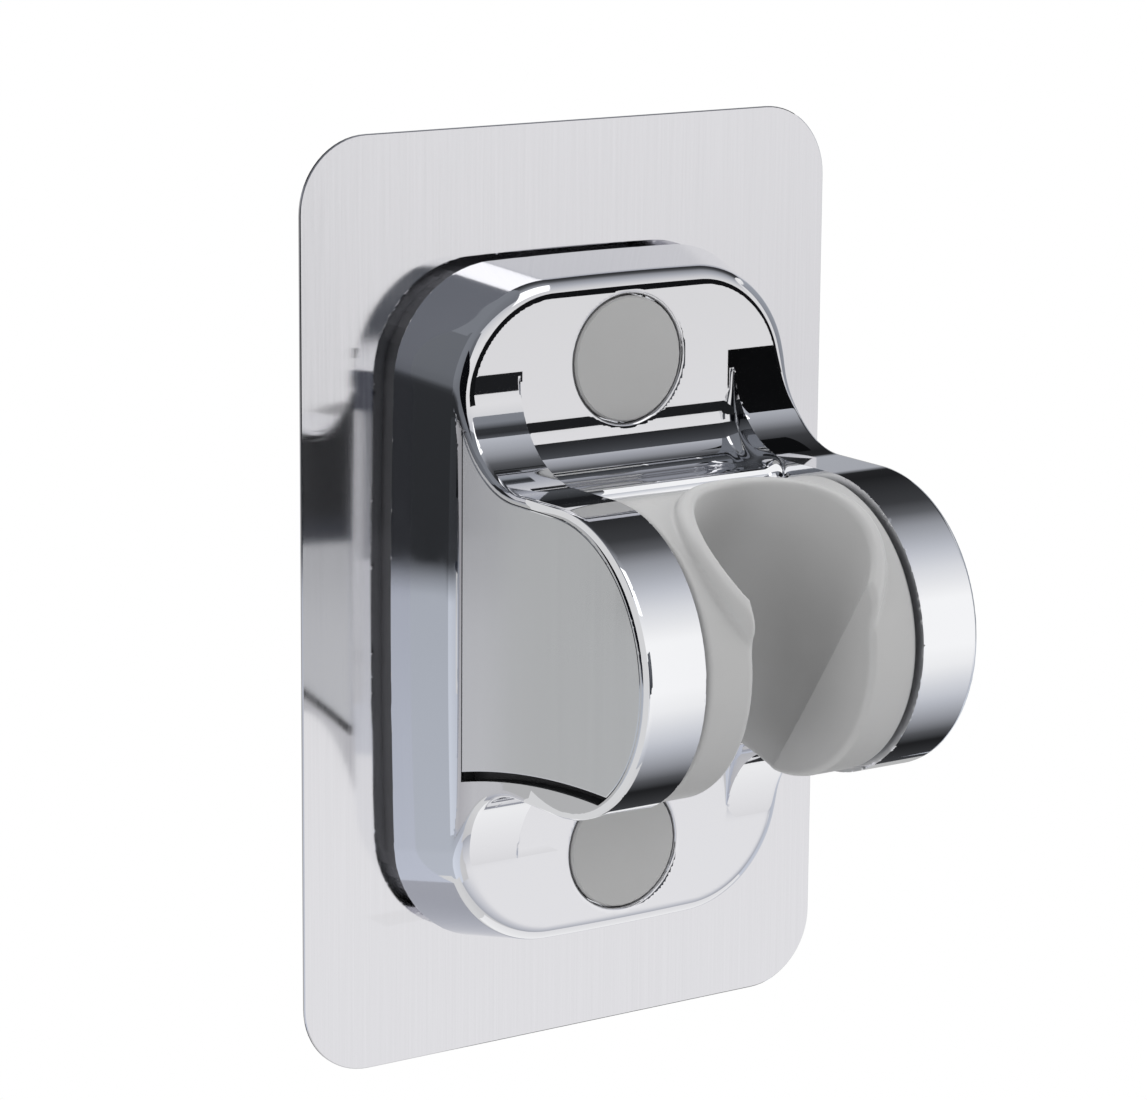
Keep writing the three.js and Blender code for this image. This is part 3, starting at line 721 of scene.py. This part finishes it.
def make_rim_card():
    turns = np.radians(np.linspace(*RIM_CARD_TURNS, RIM_CARD_COLUMNS))
    rows = [[(x * MM, -(PIVOT_DEPTH + r * math.cos(a)) * MM, (MIDDLE + r * math.sin(a)) * MM) for a in turns]
            for x, r in RIM_CARD_PLACES]
    card("outer_rim_card", rows, [RIM_CARD_GLOW] * len(rows), WHITE_TINT)


def make_edge_card():
    rows = [[(x * MM, -EDGE_CARD_DEPTH * MM, z * MM) for x, z in front_edge(inset)]
            for inset in EDGE_CARD_INSETS]
    card("edge_flag_card", rows, [EDGE_CARD_GLOW] * len(rows), DARK_TINT)


def front_edge(inset):
    """The upper outline of the body's front, inset, and shifted to where its edge is mirrored."""
    outline = rounded_rectangle(FRONT_HALF_WIDTH - inset, FRONT_HALF_HEIGHT - inset, BODY_CORNER - inset)
    across, along = outline[outline[:, 1] > 0].T
    bowed_x = across - np.sign(across) * SIDE_CROWN * (along / FRONT_HALF_HEIGHT) ** 2
    bowed_z = along - TOP_CROWN * (across / FRONT_HALF_WIDTH) ** 2
    return np.stack([bowed_x + EDGE_CARD_SHIFT[0], bowed_z + MIDDLE + EDGE_CARD_SHIFT[1]], axis=1)


def make_cards():
    """Far cards for the whole part, then small near ones that are each seen by one of its faces."""
    make_tunnel()
    make_wall_cards()
    make_roof_cards()
    make_upright_cards(FRONT_CARDS)
    make_side_card()
    make_upright_cards(SWEEP_CARDS)
    make_level_cards()
    make_rim_card()
    make_edge_card()


def make_floor():
    turns = np.arange(FLOOR_POINTS) * (2 * math.pi / FLOOR_POINTS)
    rim = [(FLOOR_RADIUS * math.cos(a), FLOOR_RADIUS * math.sin(a), FLOOR_HEIGHT) for a in turns]
    mesh = bpy.data.meshes.new("floor")
    mesh.from_pydata(rim, [], [tuple(range(len(rim)))])
    mesh.materials.append(principled("floor", (0.9, 0.9, 0.9), 0.7, 0))
    floor = add_object("floor", mesh)


# Materials
NOISE_RANGE = (0.25, 0.75)
GRAIN_HEIGHT = 0.02 * MM
BRUSHING = 0.9
FRONT_REACH = 4 * MM


def principled(name, colour, roughness, metallic):
    material = bpy.data.materials.new(name)
    material.use_nodes = True
    shader = material.node_tree.nodes["Principled BSDF"]
    shader.inputs["Base Color"].default_value = (*colour, 1)
    shader.inputs["Roughness"].default_value = roughness
    shader.inputs["Metallic"].default_value = metallic
    return material


def texture(material, scale, detail=3.0, stretch=(1, 1, 1)):
    """Noise over the piece's own place: features per metre, times a number for each direction."""
    nodes, links = material.node_tree.nodes, material.node_tree.links
    place = nodes.new("ShaderNodeTexCoord")
    mapping = nodes.new("ShaderNodeMapping")
    mapping.inputs["Scale"].default_value = stretch
    noise = nodes.new("ShaderNodeTexNoise")
    noise.inputs["Scale"].default_value = scale
    noise.inputs["Detail"].default_value = detail
    links.new(place.outputs["Object"], mapping.inputs["Vector"])
    links.new(mapping.outputs["Vector"], noise.inputs["Vector"])
    return noise.outputs["Fac"]


def spread(material, source, low, high, socket):
    """Drives one of the shader's numbers from a texture, between two values."""
    nodes, links = material.node_tree.nodes, material.node_tree.links
    ranged = nodes.new("ShaderNodeMapRange")
    ranged.inputs["From Min"].default_value = NOISE_RANGE[0]
    ranged.inputs["From Max"].default_value = NOISE_RANGE[1]
    ranged.inputs["To Min"].default_value = low
    ranged.inputs["To Max"].default_value = high
    links.new(source, ranged.inputs["Value"])
    links.new(ranged.outputs["Result"], nodes["Principled BSDF"].inputs[socket])


def tint(material, source, low, high):
    """Drives the shader's colour from a texture, between two colours."""
    nodes, links = material.node_tree.nodes, material.node_tree.links
    ramp = nodes.new("ShaderNodeValToRGB")
    for element, position, colour in zip(ramp.color_ramp.elements, NOISE_RANGE, (low, high)):
        element.position = position
        element.color = (*colour, 1)
    links.new(source, ramp.inputs["Fac"])
    links.new(ramp.outputs["Color"], nodes["Principled BSDF"].inputs["Base Color"])


def relief(material, source, strength, height):
    nodes, links = material.node_tree.nodes, material.node_tree.links
    bump = nodes.new("ShaderNodeBump")
    bump.inputs["Strength"].default_value = strength
    bump.inputs["Distance"].default_value = height
    links.new(source, bump.inputs["Height"])
    links.new(bump.outputs["Normal"], nodes["Principled BSDF"].inputs["Normal"])


def own_place(material):
    """The place on the piece, in metres, along each axis."""
    nodes, links = material.node_tree.nodes, material.node_tree.links
    place = nodes.new("ShaderNodeTexCoord")
    parts = nodes.new("ShaderNodeSeparateXYZ")
    links.new(place.outputs["Object"], parts.inputs["Vector"])
    return parts.outputs


def shades(material, source, low, high, stops):
    """Colours along a range of a number: (share of the range, colour) stops."""
    nodes, links = material.node_tree.nodes, material.node_tree.links
    ranged = nodes.new("ShaderNodeMapRange")
    ranged.inputs["From Min"].default_value = low
    ranged.inputs["From Max"].default_value = high
    links.new(source, ranged.inputs["Value"])
    ramp = nodes.new("ShaderNodeValToRGB")
    elements = ramp.color_ramp.elements
    while len(elements) < len(stops):
        elements.new(0.5)
    for element, (share, colour) in zip(elements, stops):
        element.position = share
        element.color = (*colour, 1)
    links.new(ranged.outputs["Result"], ramp.inputs["Fac"])
    return ramp.outputs["Color"]


def blend(material, kind, share, first, second):
    """Joins two colours, by a given share or one that comes from another node."""
    nodes, links = material.node_tree.nodes, material.node_tree.links
    mix = nodes.new("ShaderNodeMix")
    mix.data_type = "RGBA"
    mix.blend_type = kind
    if isinstance(share, float):
        mix.inputs["Factor"].default_value = share
    else:
        links.new(share, mix.inputs["Factor"])
    links.new(first, mix.inputs["A"])
    links.new(second, mix.inputs["B"])
    return mix.outputs["Result"]


def make_chrome():
    """Mirror plating, with painted shade on the flat front: a darker colour there, more at its head than its foot.
    """
    material = principled("chrome", (0.88, 0.885, 0.905), 0.04, 1)
    nodes, links = material.node_tree.nodes, material.node_tree.links
    spread(material, texture(material, 260, 4), 0.02, 0.06, "Roughness")
    place = own_place(material)
    mirror = shades(material, texture(material, 40, 2), *NOISE_RANGE, (
        (0, (0.865, 0.87, 0.89)), (1, (0.895, 0.9, 0.92)),
    ))
    # Painted shade: the front's colour, darker at the head than the foot, stands in for a dimmer reflection
    front = shades(material, place["Z"], -FRONT_HALF_HEIGHT * MM, FRONT_HALF_HEIGHT * MM, (
        (0, (0.765, 0.763, 0.79)), (1, (0.66, 0.657, 0.675)),
    ))
    # Mask of the flat front, where the painted shade replaces the mirror colour
    front_y = -BODY_FRONT * MM
    flat = shades(material, place["Y"], front_y - FRONT_REACH, front_y + FRONT_REACH, (
        (0.1, (0, 0, 0)), (0.49, (1, 1, 1)), (0.51, (1, 1, 1)), (0.65, (0, 0, 0)),
    ))
    colour = blend(material, "MIX", flat, mirror, front)
    links.new(colour, nodes["Principled BSDF"].inputs["Base Color"])
    return material


def make_satin():
    material = principled("satin_cover", (0.86, 0.875, 0.89), 0.25, 1)
    streaks = texture(material, 1, 5, (2600, 2600, 60))
    spread(material, streaks, 0.13, 0.17, "Roughness")
    tint(material, texture(material, 1, 3, (900, 900, 30)), (0.85, 0.865, 0.88), (0.87, 0.885, 0.9))
    brush(material)
    return material


def make_brushed_steel():
    """Brushed upright, with painted shade: a darker colour across the upper middle of the plate."""
    material = principled("brushed_steel", (0.75, 0.745, 0.77), 0.11, 1)
    nodes, links = material.node_tree.nodes, material.node_tree.links
    streaks = texture(material, 1, 6, (5200, 5200, 70))
    spread(material, streaks, 0.06, 0.095, "Roughness")
    fine = shades(material, texture(material, 1, 5, (4200, 4200, 45)), *NOISE_RANGE, (
        (0, (0.96, 0.96, 0.96)), (1, (1, 1, 1)),
    ))
    # Painted shade: the plate's colour darkens by height, most across its upper middle
    height = shades(material, own_place(material)["Z"], plate_low[2] * MM, plate_high[2] * MM, (
        (0, (0.785, 0.78, 0.805)), (0.25, (0.755, 0.75, 0.775)),
        (0.7, (0.66, 0.655, 0.68)), (1, (0.71, 0.705, 0.73)),
    ))
    links.new(blend(material, "MULTIPLY", 1.0, height, fine), nodes["Principled BSDF"].inputs["Base Color"])
    relief(material, streaks, 0.05, GRAIN_HEIGHT)
    brush(material)
    return material


def brush(material):
    """Blurs reflections across upright brushing, along the first direction of the piece's flat layout."""
    shader = material.node_tree.nodes["Principled BSDF"]
    shader.inputs["Anisotropic"].default_value = BRUSHING
    tangent = material.node_tree.nodes.new("ShaderNodeTangent")
    tangent.direction_type = "UV_MAP"
    tangent.uv_map = "flat"
    material.node_tree.links.new(tangent.outputs["Tangent"], shader.inputs["Tangent"])


def make_plastic(name, low, high, roughness):
    material = principled(name, low, roughness, 0)
    tint(material, texture(material, 90, 4), low, high)
    spread(material, texture(material, 1500, 3), roughness - 0.05, roughness + 0.05, "Roughness")
    relief(material, texture(material, 4200, 3), 0.06, GRAIN_HEIGHT)
    return material


def make_metal(name, low, high, roughness):
    material = principled(name, low, roughness, 1)
    tint(material, texture(material, 300, 4), low, high)
    spread(material, texture(material, 1800, 4), roughness - 0.08, roughness + 0.08, "Roughness")
    return material


SLOT_MATERIALS = {
    "chrome": make_chrome(),
    "cover_chrome": make_satin(),
    "brushed_steel": make_brushed_steel(),
    "cradle_plastic": make_plastic("cradle_plastic", (0.43, 0.43, 0.43), (0.46, 0.46, 0.46), 0.36),
    "cap_plastic": make_plastic("cap_plastic", (0.385, 0.385, 0.385), (0.405, 0.405, 0.405), 0.42),
    "seal_rubber": make_plastic("seal_rubber", (0.07, 0.072, 0.075), (0.09, 0.092, 0.096), 0.17),
    "ring_rubber": make_plastic("ring_rubber", (0.02, 0.02, 0.021), (0.035, 0.035, 0.036), 0.65),
    "bush_nylon": make_plastic("bush_nylon", (0.72, 0.70, 0.65), (0.8, 0.78, 0.73), 0.4),
    "adhesive": make_plastic("adhesive", (0.78, 0.78, 0.76), (0.86, 0.86, 0.84), 0.55),
    "fastener_steel": make_metal("fastener_steel", (0.58, 0.585, 0.6), (0.68, 0.685, 0.7), 0.32),
    "insert_brass": make_metal("insert_brass", (0.62, 0.46, 0.2), (0.72, 0.55, 0.27), 0.3),
}


def dress(piece, slot, body, *nodes):
    """Gives a piece its finish, the body it rides on and the CAD nodes it stands for."""
    piece.data.materials.append(SLOT_MATERIALS[slot])
    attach(piece, body)
    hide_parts(*nodes)


# Pieces on the wall
# Painted shade in the side recesses: how far the chrome reaches in from the outer face, and a margin
RECESS_CHROME_EDGE = 0.3
RECESS_NEAR = 0.1


def in_recess(place):
    """Whether a place in metres is on the floor or walls of a side recess, which gets a near-black painted shade.
    """
    x, depth, height = abs(place.x) / MM, -place.y / MM, place.z / MM - MIDDLE
    near = RECESS_NEAR
    inside = cover_profile(depth, height, COVER_RIM - near, COVER_SETBACK - near, -near) < 0
    return inside and ARM_INNER + POCKET_WALL - near < x < ARM_OUTER - RECESS_CHROME_EDGE


def make_body():
    body = field_piece("body", body_field, body_low - BOX_MARGIN, body_high + BOX_MARGIN, BODY_STEP)
    dress(body, "chrome", "wall_body", "body_shell")
    # A near-black material as painted shade on the recess floors and walls
    body.data.materials.append(make_plastic("recess_painted_shade", (0.012, 0.012, 0.013), (0.02, 0.02, 0.022), 0.5))
    for face in body.data.polygons:
        if in_recess(face.center):
            face.material_index = 1


def lay_flat(piece, axis):
    """Gives an upright flat piece a layout that runs along one axis and up."""
    low, high = (np.array(piece.bound_box).min(axis=0), np.array(piece.bound_box).max(axis=0))
    layer = piece.data.uv_layers.new(name="flat")
    for loop in piece.data.loops:
        share = (np.array(piece.data.vertices[loop.vertex_index].co) - low) / (high - low)
        layer.data[loop.index].uv = (share[axis], share[2])


def make_plate():
    half_width, half_height = plate_high[0], plate_high[2]
    layers = (
        (PLATE_BACK, PLATE_EDGE), (PLATE_BACK + PLATE_EDGE, 0),
        (PLATE_FRONT - PLATE_EDGE, 0), (PLATE_FRONT, PLATE_EDGE),
    )
    rings = []
    for depth, inset in layers:
        outline = rounded_rectangle(half_width - inset, half_height - inset, PLATE_CORNER - inset)
        rings.append([(x, -depth, z) for x, z in outline])
    plate = skin_piece("plate", rings)
    lay_flat(plate, 0)
    dress(plate, "brushed_steel", "wall_body", "mounting_plate")


def make_covers():
    outline = cover_outline()
    ease = COVER_EASE_SHARE * COVER_EDGE
    layers = (
        (COVER_FLOOR, 0), (ARM_OUTER - COVER_EDGE, 0), (ARM_OUTER - ease, ease), (ARM_OUTER, COVER_EDGE),
    )
    for side, sign in SIDES.items():
        rings = []
        for x, inset in layers:
            rings.append([(sign * x, -d, MIDDLE + h) for d, h in inset_outline(outline, inset)])
        cover = skin_piece(f"cover_{side}", rings)
        lay_flat(cover, 1)
        dress(cover, "cover_chrome", "wall_body", f"side_cover_{side}")


def cover_outline(steps=40):
    """The outline of a side cover as (depth, height), from its foot round the barrel and up the sweep."""
    rim = COVER_RIM + COVER_GAP
    setback = COVER_SETBACK + COVER_GAP
    back = BODY_FRONT + setback
    radius = BARREL_RADIUS - rim
    drop_front = COVER_DROP_FRONT - PRY_SLOT
    front = PIVOT_DEPTH + math.sqrt(radius**2 - drop_front**2)
    depths = np.linspace(back, front, steps)
    foot = [(d, cover_foot(d, rim, setback, PRY_SLOT)) for d in depths]
    nose = [(PIVOT_DEPTH + radius * math.cos(a), radius * math.sin(a))
            for a in np.linspace(-math.asin(drop_front / radius), math.pi / 2, 2 * steps)]
    sweep_radius = SWEEP_RADIUS + rim
    middle = (BODY_FRONT + SWEEP_RADIUS, BARREL_RADIUS + SWEEP_RADIUS)
    end = -math.acos((back - middle[0]) / sweep_radius)
    sweep = [(middle[0] + sweep_radius * math.cos(a), middle[1] + sweep_radius * math.sin(a))
             for a in np.linspace(-math.pi / 2, end, steps)]
    return np.array(foot[:-1] + nose + sweep)


def inset_outline(outline, inset):
    """Moves a closed outline inward, each point along the bisector of its two edges."""
    before = outline - np.roll(outline, 1, axis=0)
    after = np.roll(outline, -1, axis=0) - outline
    normals = []
    for edge in (before, after):
        unit = edge / np.linalg.norm(edge, axis=1, keepdims=True)
        normals.append(np.stack([-unit[:, 1], unit[:, 0]], axis=1))
    both = normals[0] + normals[1]
    stretch = 1 + np.einsum("ij,ij->i", *normals)
    return outline + inset * both / stretch[:, None]


def make_cradle():
    reach = DRUM_RADIUS + COLLAR_PROUD + BOX_MARGIN
    width = DRUM_END + BOX_MARGIN
    place = Matrix.Rotation(REST_TILT, 4, "X")
    place.translation = (0, -PIVOT_DEPTH, MIDDLE)
    cradle = field_piece(
        "cradle_drum", cradle_field, (-width, -reach, -reach), (width, reach, reach), CRADLE_STEP, place
    )
    dress(cradle, "cradle_plastic", "tilting_cradle", "cradle")


bpy.context.scene.view_settings.view_transform = "Standard"
make_camera()
make_world()
make_lamps()
make_floor()
make_cards()
make_body()
make_plate()
make_covers()
make_cradle()
for row in frame["record"]["subparts"]:
    node = frame["nodes"][row["node"]]
    node.data.materials.clear()
    node.data.materials.append(SLOT_MATERIALS[row["material_slot"]])
